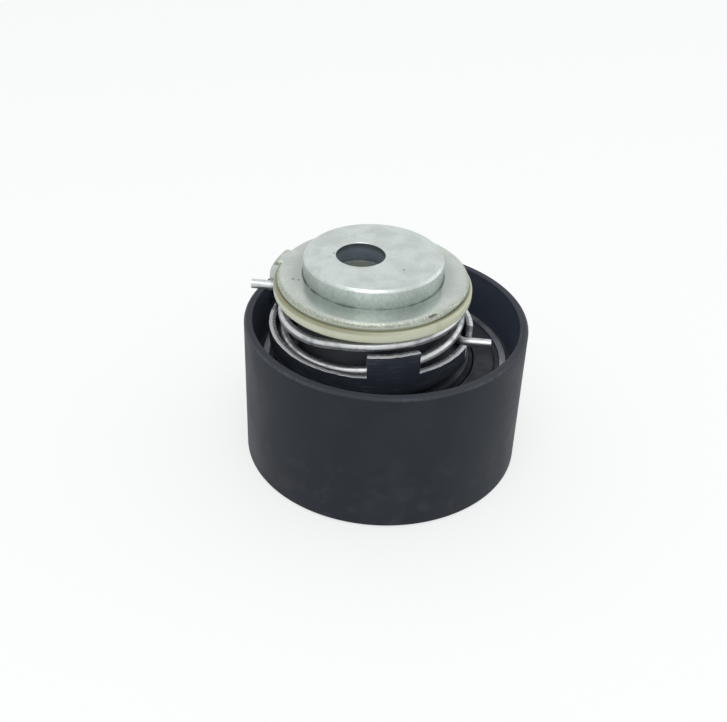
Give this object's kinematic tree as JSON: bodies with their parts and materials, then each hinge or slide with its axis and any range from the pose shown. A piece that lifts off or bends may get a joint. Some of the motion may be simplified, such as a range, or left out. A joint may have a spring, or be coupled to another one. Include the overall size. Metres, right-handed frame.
{
  "type": "timing belt tensioner",
  "caption": "Sprung belt tensioner: a plain steel drum pulley on a sealed ball bearing, carried by an eccentric arm that a torsion spring turns about an off-centre bolt sleeve.",
  "frame": {"origin": "on the pulley's axis, in the plane of the rim it stands on", "axes": "+Z along the pulley's axis, from the resting rim towards the face that meets the engine; +Y away from the camera of the picture"},
  "size_m": [0.06, 0.06, 0.0468],
  "materials": {
    "black_steel": "satin black",
    "bearing_steel": "ground",
    "ball_steel": "polished",
    "cage_steel": "pressed sheet",
    "seal_rubber": "matte",
    "dark_steel": "blackened",
    "bush_bronze": "sintered",
    "spring_steel_dark": "blackened",
    "black_sheet": "blackened, bright at the sheared edges",
    "spring_wire": "bright drawn wire",
    "cream_nylon": "oiled nylon",
    "zinc_plate": "zinc plated, rubbed bright at the edge",
    "zinc_disc": "zinc plated",
    "zinc_sleeve": "zinc plated"
  },
  "bodies": {
    "base": {"setting_eccentric": "zinc_sleeve", "mounting_disc": "zinc_disc", "base_plate": "zinc_plate", "friction_washer": "cream_nylon", "thrust_washer": "cream_nylon"},
    "arm": {"working_eccentric": "dark_steel", "plain_bush": "bush_bronze", "retaining_ring": "spring_steel_dark", "bearing_inner_ring": "bearing_steel", "spring_cup": "black_sheet", "torsion_spring": "spring_wire"},
    "drum": {"pulley": "black_steel", "bearing_outer_ring": "bearing_steel", "seal_upper": "seal_rubber", "seal_lower": "seal_rubber"},
    "cage": {"cage_upper": "cage_steel", "cage_lower": "cage_steel", "cage_rivets": "cage_steel", "bearing_ball_01": "ball_steel", "bearing_ball_02": "ball_steel", "bearing_ball_03": "ball_steel", "bearing_ball_04": "ball_steel", "bearing_ball_05": "ball_steel", "bearing_ball_06": "ball_steel", "bearing_ball_07": "ball_steel", "bearing_ball_08": "ball_steel", "bearing_ball_09": "ball_steel", "bearing_ball_10": "ball_steel", "bearing_ball_11": "ball_steel"}
  },
  "joints": [
    {"name": "arm_swing", "type": "hinge", "parent": "base", "child": "arm", "pos_m": [-0.00315, 0, 0.023], "axis": [0, 0, 1], "range_deg": [-97, 0], "stiffness_Nm_per_rad": 0.553, "deforming": ["torsion_spring"]},
    {"name": "pulley_spin", "type": "hinge", "parent": "arm", "child": "drum", "pos_m": [0, 0, 0.0168], "axis": [0, 0, 1], "continuous": true},
    {"name": "cage_spin", "type": "hinge", "parent": "arm", "child": "cage", "pos_m": [0, 0, 0.0168], "axis": [0, 0, 1], "continuous": true}
  ],
  "couplings": [
    {"joint": "cage_spin", "follows": "pulley_spin", "ratio": 0.584}
  ]
}
